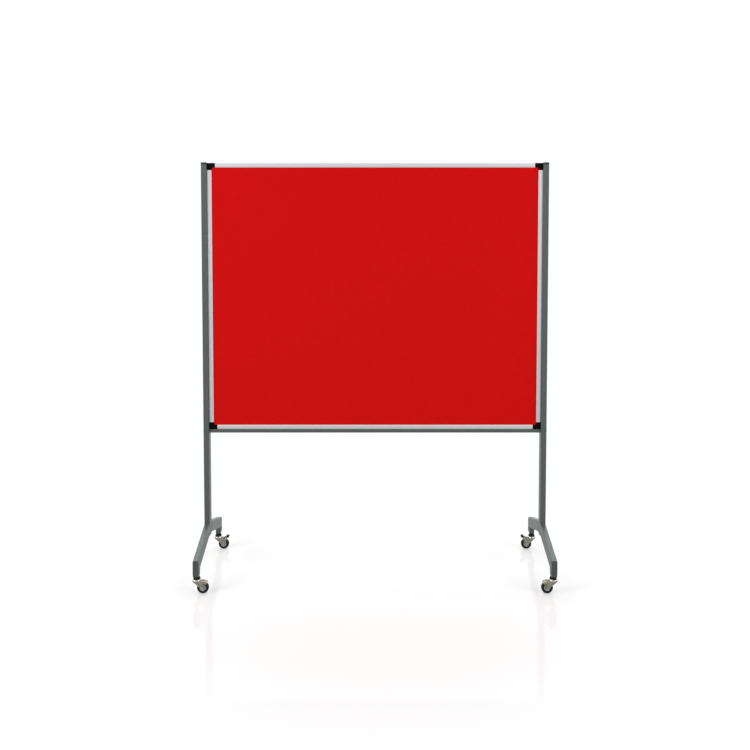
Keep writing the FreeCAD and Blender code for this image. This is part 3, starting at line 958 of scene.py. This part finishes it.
@dataclass
class Stand:
    """Two uprights, four splayed legs with welded joints, their caps and the cross tube."""

    coat: PowderCoat = PowderCoat("powder_coat", paint(76, 85, 84), roughness=0.33)
    cap: Moulded = Moulded("post_cap_plastic", paint(44, 49, 49), roughness=0.5)
    leg_cap: Moulded = Moulded("leg_cap_plastic", paint(74, 80, 78), roughness=0.5)
    bolt: ZincPlate = ZincPlate(
        "fastener_steel", paint(168, 168, 166), roughness=0.34, warm=paint(160, 156, 148)
    )
    block: ZincPlate = ZincPlate("block_zinc", paint(196, 198, 198), roughness=0.3)
    bead_step: float = 1.5 * MM
    bead_length: float = 2.7 * MM
    bead_width: float = 3.8 * MM
    bead_jitter: float = 0.14  # share of a bead's size
    bead_seed: int = 7
    bead_segments: int = 10
    bead_rings: int = 6
    seam_sunk: float = 1.1 * MM  # of a leg's seam inside the leg's sides
    seam_foot: float = 4.0 * MM  # of a leg's seam above the upright's foot
    seam_corner: float = 4.0 * MM
    seam_corner_steps: int = 6
    neck_side: float = 12.0 * MM  # half of a neck's width

    def build(self) -> None:
        """Dresses the stand's solids and welds the legs on."""
        steel = self.coat.material()
        posts = [f"post_{side.word}" for side in Side]
        legs = [f"leg_{foot.word}" for foot in FEET]
        dress(steel, "crossbar", "caster_sleeves", *posts, *legs)
        dress(self.cap.material(), "post_caps", "post_plugs")
        dress(self.leg_cap.material(), *(f"leg_cap_{foot.word}" for foot in FEET))
        dress(self.bolt.material(), "crossbar_bolts", "board_screws")
        dress(self.block.material(), "crossbar_blocks")
        self.weld(steel)

    def seam_arc(self, centre: Pair, start: float, end: float) -> list[Pair]:
        """A rounded corner of a seam.

        Args:
            centre: The arc's centre, in a plane of the seam.
            start: The angle of its first point, in degrees.
            end: The angle of its last point, in degrees.

        Returns:
            Points along the arc.
        """
        steps = self.seam_corner_steps
        turns = [math.radians(start + (end - start) * i / steps) for i in range(steps + 1)]
        return [
            (centre[0] + self.seam_corner * math.cos(turn), centre[1] + self.seam_corner * math.sin(turn))
            for turn in turns
        ]

    def leg_seam(self, foot: Foot) -> list[Vector]:
        """The line of a weld: up one side of a leg's mouth, over its top and down the other side.

        Args:
            foot: The leg's foot.

        Returns:
            The points of the line.
        """
        low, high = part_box(f"leg_{foot.word}")
        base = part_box(f"post_{foot.side.word}")[0].z + self.seam_foot
        seat = high.y if foot.end is End.FRONT else low.y
        left, right = low.x + self.seam_sunk, high.x - self.seam_sunk
        bend = high.z - self.seam_sunk / 2 - self.seam_corner
        over_left = self.seam_arc((left + self.seam_corner, bend), 180, 90)
        over_right = self.seam_arc((right - self.seam_corner, bend), 90, 0)
        line = [(left, base), *over_left, *over_right, (right, base)]
        return [Vector((x, seat, z)) for x, z in line]

    def neck_seam(self, foot: Foot) -> list[Vector]:
        """The line of a weld around the back and sides of a caster's neck, on the leg's sloping underside.

        Args:
            foot: The neck's foot.

        Returns:
            The points of the line.
        """
        post_low, post_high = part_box(f"post_{foot.side.word}")
        leg_low, leg_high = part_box(f"leg_{foot.word}")
        mouth = max(abs(leg_low.y), abs(leg_high.y))
        fall = (post_low.z - leg_low.z) / (mouth - post_high.y)
        socket_low, socket_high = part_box(f"caster_socket_{foot.word}")
        middle = (socket_low + socket_high) / 2
        tip = mouth - self.bead_length / 2
        bend_x = self.neck_side - self.seam_corner
        bend_y = abs(middle.y) - self.neck_side + self.seam_corner
        round_left = self.seam_arc((-bend_x, bend_y), 180, 270)
        round_right = self.seam_arc((bend_x, bend_y), 270, 360)
        line = [(-self.neck_side, tip), *round_left, *round_right, (self.neck_side, tip)]
        points: list[Vector] = []
        for across, along in line:
            height = post_low.z - fall * (along - post_high.y)
            points.append(Vector((middle.x + across, math.copysign(along, middle.y), height)))
        return points

    def weld(self, steel: bpy.types.Material) -> None:
        """Lays overlapping beads along the seams of the legs and the caster necks.

        Args:
            steel: The paint over the welds.
        """
        sizes = {
            "Step": self.bead_step,
            "Length": self.bead_length,
            "Width": self.bead_width,
            "Jitter": self.bead_jitter,
        }
        recipe = Recipe("weld_bead", {label: "NodeSocketFloat" for label in sizes})
        # The ball is 1 across, so its scale is the bead's size.
        ball = {"Segments": self.bead_segments, "Rings": self.bead_rings, "Radius": 0.5}
        pool = recipe.node("GeometryNodeMeshUVSphere", inputs=ball)
        size = {"X": recipe.given("Length"), "Y": recipe.given("Width"), "Z": recipe.given("Width")}
        scale = recipe.node("ShaderNodeCombineXYZ", inputs=size)
        bead = recipe.node("GeometryNodeTransform", inputs={"Geometry": pool, "Scale": scale})
        along = recipe.node("GeometryNodeInputTangent")
        turn = recipe.node("FunctionNodeAlignRotationToVector", {"axis": "X"}, {"Vector": along})
        # Random Value has sockets for each type. Inputs 2 and 3 and output 1 are the numbers.
        spread = {2: 1 - recipe.given("Jitter"), 3: 1 + recipe.given("Jitter"), "Seed": self.bead_seed}
        swell = recipe.node("FunctionNodeRandomValue", {"data_type": "FLOAT"}, spread, 1)
        stops = recipe.stops(Spacing.STEP, "Step")
        recipe.close({"Points": stops, "Instance": bead, "Rotation": turn, "Scale": swell})
        seams = [seam(foot) for seam in (self.leg_seam, self.neck_seam) for foot in FEET]
        beads = recipe.make("weld_beads", line_mesh("weld_seams", seams), {**sizes, "Finish": steel})
        add_piece("weld_beads", beads, "root")


@dataclass
class Casters:
    """Four swivel casters: socket, stem, race and balls, fork, axle, wheel, and brakes at the rear."""

    # The fork's zinc is darker and warmer than the races' zinc, partly as painted shade; the races'
    # lighter zinc is partly bright plating and partly a painted highlight.
    zinc: ZincPlate = ZincPlate(
        "zinc_plate", paint(164, 163, 152), roughness=0.27, warm=paint(146, 142, 124)
    )
    bright: ZincPlate = ZincPlate(
        "bright_zinc", paint(226, 230, 226), roughness=0.2, warm=paint(206, 206, 196)
    )
    steel: ZincPlate = ZincPlate(
        "axle_steel", paint(190, 194, 188), roughness=0.3, warm=paint(160, 156, 142)
    )
    nylon: Moulded = Moulded("nylon", paint(24, 27, 26), roughness=0.48, gloss=0.2)
    tyre: WheelFinish = WheelFinish("tyre", paint(26, 28, 28), roughness=0.6)
    hub: WheelFinish = WheelFinish(
        "hub",
        paint(180, 192, 183),
        roughness=0.42,
        dust_band=(9 * MM, 13 * MM),
        dust_share=0.25,
        grain_depth=0.015 * MM,
    )
    grip_count: int = 3
    grip_pitch: float = 2.1 * MM
    grip_length: float = 13.0 * MM
    grip_radius: float = 0.8 * MM
    grip_sides: int = 16
    arm_rise: float = 38.0  # slope of a brake's arm
    pad_half: float = 5.5 * MM  # from a foot pad's middle to its top

    def build(self) -> None:
        """Dresses all four casters."""
        zinc, steel, nylon = self.zinc.material(), self.steel.material(), self.nylon.material()
        # The races take the lighter zinc, which is partly a painted highlight at the crown.
        dress(self.bright.material(), "swivel_races")
        dress(steel, "swivel_balls")
        for foot in FEET:
            dress(nylon, f"caster_socket_{foot.word}")
            dress(zinc, f"caster_stem_{foot.word}", f"caster_fork_{foot.word}")
            dress(steel, f"caster_axle_{foot.word}")
            self.dress_wheel(foot)
            if foot in BRAKED_FEET:
                dress(zinc, f"brake_lever_{foot.word}")
                dress(nylon, f"brake_pedal_{foot.word}")
                dress(steel, f"brake_pin_{foot.word}")
        self.add_grips(nylon)

    def dress_wheel(self, foot: Foot) -> None:
        """Dresses one wheel with finishes that are centred on its axle.

        Args:
            foot: The wheel's foot.
        """
        low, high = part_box(f"wheel_tyre_{foot.word}")
        axle = tuple((low + high) / 2)
        for finish in (self.tyre, self.hub):
            own = replace(finish, name=f"{finish.name}_{foot.word}", centre=axle)
            dress(own.material(), f"wheel_{own.name}")

    def add_grips(self, nylon: bpy.types.Material) -> None:
        """Lays a row of grip ribs across the top of each foot pad.

        Args:
            nylon: The pads' finish.
        """
        kinds = {"Ribs": "NodeSocketInt", "Length": "NodeSocketFloat", "Radius": "NodeSocketFloat"}
        recipe = Recipe("grip_ribs", kinds)
        size = {
            "Vertices": self.grip_sides,
            "Radius": recipe.given("Radius"),
            "Depth": recipe.given("Length"),
        }
        bar = recipe.node("GeometryNodeMeshCylinder", inputs=size)
        level = {"Geometry": bar, "Rotation": (math.radians(90), 0.0, 0.0)}
        rib = recipe.node("GeometryNodeTransform", inputs=level)
        recipe.close({"Points": recipe.stops(Spacing.COUNT, "Ribs"), "Instance": rib})
        sizes = {
            "Ribs": self.grip_count,
            "Length": self.grip_length,
            "Radius": self.grip_radius,
            "Finish": nylon,
        }
        rise = math.radians(self.arm_rise)
        half_row = self.grip_pitch * (self.grip_count - 1) / 2
        for foot in BRAKED_FEET:
            low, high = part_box(f"brake_pedal_{foot.word}")
            sign = foot.side.value
            along = Vector((-sign * math.cos(rise), 0.0, math.sin(rise)))
            out = Vector((sign * math.sin(rise), 0.0, math.cos(rise)))
            middle = (low + high) / 2 + out * self.pad_half
            row = line_mesh("grip_row", [[middle - along * half_row, middle + along * half_row]])
            name = f"pedal_grips_{foot.word}"
            add_piece(name, recipe.make(name, row, sizes), f"brake_{foot.word}")


@dataclass(frozen=True)
class Lamp:
    """A soft rectangular lamp aimed at a point."""

    name: str
    place: Triple
    aim: Triple
    width: float
    height: float
    watts: float

    def hang(self) -> None:
        """Adds the lamp, out of the camera's sight."""
        light = bpy.data.lights.new(self.name, "AREA")
        light.shape = "RECTANGLE"
        light.size, light.size_y = self.width, self.height
        light.energy = self.watts
        lamp = put(self.name, light)
        lamp.location = self.place
        lamp.rotation_euler = (Vector(self.aim) - Vector(self.place)).to_track_quat("-Z", "Y").to_euler()
        lamp.visible_camera = False


@dataclass
class Studio:
    """A white room: pale floor that fades into the background, soft lamps and the camera."""

    lamps: tuple[Lamp, ...] = (
        Lamp("key", place=(-3.4, -2.4, 2.5), aim=(0.0, 0.0, 0.6), width=2.0, height=2.0, watts=66.0),
        Lamp("fill", place=(3.3, -2.4, 2.1), aim=(0.0, 0.0, 0.5), width=2.0, height=2.0, watts=42.0),
        Lamp("top", place=(0.0, 0.3, 4.2), aim=(0.0, 0.0, 0.0), width=3.6, height=2.4, watts=52.0),
        Lamp("back", place=(0.0, 4.0, 4.7), aim=(0.0, -0.15, 0.2), width=5.0, height=2.4, watts=92.0),
    )
    room_level: float = 0.6  # of the light on the object, where white is 1
    floor_seen: Colour = (0.92, 0.92, 0.92, 1.0)
    floor_bounce: Colour = (0.55, 0.55, 0.55, 1.0)
    floor_roughness: float = 0.07
    floor_gloss: float = 0.6
    floor_radius: float = 7.0
    floor_points: int = 128
    floor_drop: float = 0.2 * MM  # under the wheels
    floor_lift: float = 0.4  # share of white that the eye sees under the object
    fade_band: Pair = (0.95, 1.5)  # distances over which the floor goes white
    focal_pixels: float = 919.2
    photo_pixels: int = 750
    sensor: float = 36.0  # millimetres
    eye: Triple = (0.0, -4.130, 1.568)
    look_down: float = 3.19
    frame_shift: float = -0.13  # share of the frame

    def build(self) -> None:
        """Sets the room, the lamps and the camera."""
        bpy.context.scene.view_settings.view_transform = "Standard"
        self.lay_floor()
        self.light_room()
        for lamp in self.lamps:
            lamp.hang()
        self.set_camera()
        log.info("studio: floor, room light, %d lamps and camera", len(self.lamps))

    def lay_floor(self) -> None:
        """A round floor under the wheels, which the eye sees go over into the white background."""
        turns = [2 * math.pi * i / self.floor_points for i in range(self.floor_points)]
        radius, low = self.floor_radius, -self.floor_drop
        rim = [(radius * math.cos(turn), radius * math.sin(turn), low) for turn in turns]
        mesh = bpy.data.meshes.new("floor")
        mesh.from_pydata(rim, [], [range(self.floor_points)])
        floor = put("floor", mesh)
        material, wiring = new_material("floor")
        seen = wiring.node("ShaderNodeLightPath", output="Is Camera Ray")
        pale = wiring.node(
            "ShaderNodeBsdfPrincipled",
            inputs={
                "Base Color": wiring.blend(seen, self.floor_bounce, self.floor_seen),
                "Roughness": self.floor_roughness,
                "Specular IOR Level": self.floor_gloss,
            },
        )
        white = wiring.node("ShaderNodeEmission", inputs={"Color": WHITE, "Strength": 1.0})
        distance = wiring.length(wiring.place())
        fade = self.floor_lift + distance.rise(*self.fade_band) * (1 - self.floor_lift)
        surface = wiring.node("ShaderNodeMixShader", inputs={0: seen * fade, 1: pale, 2: white})
        wiring.node("ShaderNodeOutputMaterial", inputs={"Surface": surface})
        mesh.materials.append(material)

    def light_room(self) -> None:
        """Even light from all round, which shows as white to the eye and in reflections."""
        world = bpy.data.worlds.new("room")
        bpy.context.scene.world = world
        world.use_nodes = True
        wiring = Wiring(world.node_tree)
        rays = ("Is Camera Ray", "Is Glossy Ray", "Is Transmission Ray")
        seen = highest(wiring.node("ShaderNodeLightPath", output=ray) for ray in rays)
        level = self.room_level + seen * (1 - self.room_level)
        light = wiring.node("ShaderNodeBackground", inputs={"Color": WHITE, "Strength": level})
        wiring.node("ShaderNodeOutputWorld", inputs={"Surface": light})

    def set_camera(self) -> None:
        """The camera at the photograph's angle and frame."""
        lens = bpy.data.cameras.new("camera")
        lens.sensor_width = self.sensor
        lens.lens = self.focal_pixels * self.sensor / self.photo_pixels
        lens.shift_y = self.frame_shift
        camera = put("camera", lens)
        camera.location = self.eye
        camera.rotation_euler = (math.radians(90 - self.look_down), 0.0, 0.0)
        bpy.context.scene.camera = camera


def main() -> None:
    """Builds the sub-assemblies in order, then the studio."""
    logging.basicConfig(level=logging.INFO, format="%(name)s: %(message)s")
    Board().build()
    Stand().build()
    Casters().build()
    Studio().build()


if __name__ == "__main__":
    main()
